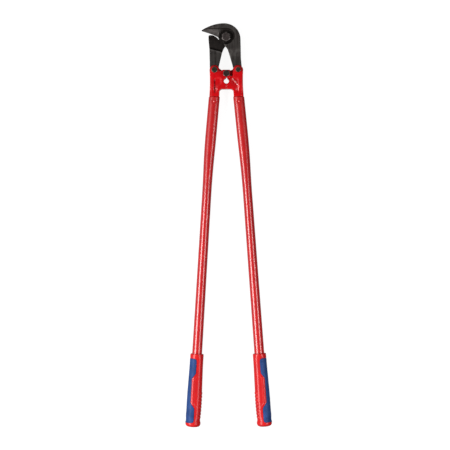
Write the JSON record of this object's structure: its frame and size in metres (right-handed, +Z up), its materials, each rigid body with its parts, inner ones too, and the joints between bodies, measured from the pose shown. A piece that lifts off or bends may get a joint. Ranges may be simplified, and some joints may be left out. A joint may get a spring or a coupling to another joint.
{
  "type": "cable cutter",
  "caption": "Long-armed compound cutter with a hooked jaw and a counter blade, red lever heads, tubular handles and sleeved two-colour grips.",
  "frame": {"origin": "middle of the rectangle that the closed tool covers, on the surface that it lies on", "axes": "+Y along the tool towards the jaws, +X to the right seen from the front, +Z up out of the front face"},
  "size_m": [0.203, 0.9454, 0.0358],
  "materials": {
    "blade_steel": "dark burnished forged steel, ground bevels a little lighter",
    "black_fastener": "black oxide, satin",
    "red_casting": "glossy red enamel over cast steel",
    "red_tube": "glossy red powder coat",
    "tube_pin": "painted over with the tube",
    "red_grip": "hard moulded plastic, glossy",
    "blue_inlay": "soft matt thermoplastic"
  },
  "bodies": {
    "hook_blade": {"hook_blade": "blade_steel", "blade_pivot_bolt": "black_fastener", "blade_pivot_washer": "black_fastener", "blade_pivot_nut": "black_fastener"},
    "counter_blade": {"counter_blade": "blade_steel"},
    "right_handle": {"right_lever_head": "red_casting", "right_handle_tube": "red_tube", "right_tube_pin": "tube_pin", "right_grip_sleeve": "red_grip", "right_grip_inlay": "blue_inlay", "right_link_bolt": "black_fastener", "right_link_washer": "black_fastener", "right_link_nut": "black_fastener", "lever_pivot_bolt": "black_fastener", "lever_pivot_washer": "black_fastener", "lever_pivot_nut": "black_fastener"},
    "left_handle": {"left_lever_head": "red_casting", "left_handle_tube": "red_tube", "left_tube_pin": "tube_pin", "left_grip_sleeve": "red_grip", "left_grip_inlay": "blue_inlay", "left_link_bolt": "black_fastener", "left_link_washer": "black_fastener", "left_link_nut": "black_fastener"}
  },
  "joints": [
    {"name": "handles_open", "type": "hinge", "parent": "right_handle", "child": "left_handle", "pos_m": [0, 0.35555, 0.0178], "axis": [0, 0, -1], "range_deg": [0, 90]},
    {"name": "right_link_turn", "type": "hinge", "parent": "hook_blade", "child": "right_handle", "pos_m": [0.0277, 0.36425, 0.0178], "axis": [0, 0, 1], "range_deg": [0, 55.4]},
    {"name": "jaws_open", "type": "hinge", "parent": "hook_blade", "child": "counter_blade", "pos_m": [0, 0.44155, 0.0178], "axis": [0, 0, 1], "range_deg": [0, 20.7]}
  ],
  "couplings": [
    {"joint": "right_link_turn", "follows": "handles_open", "ratio": 0.61442},
    {"joint": "jaws_open", "follows": "handles_open", "ratio": 0.22884}
  ]
}
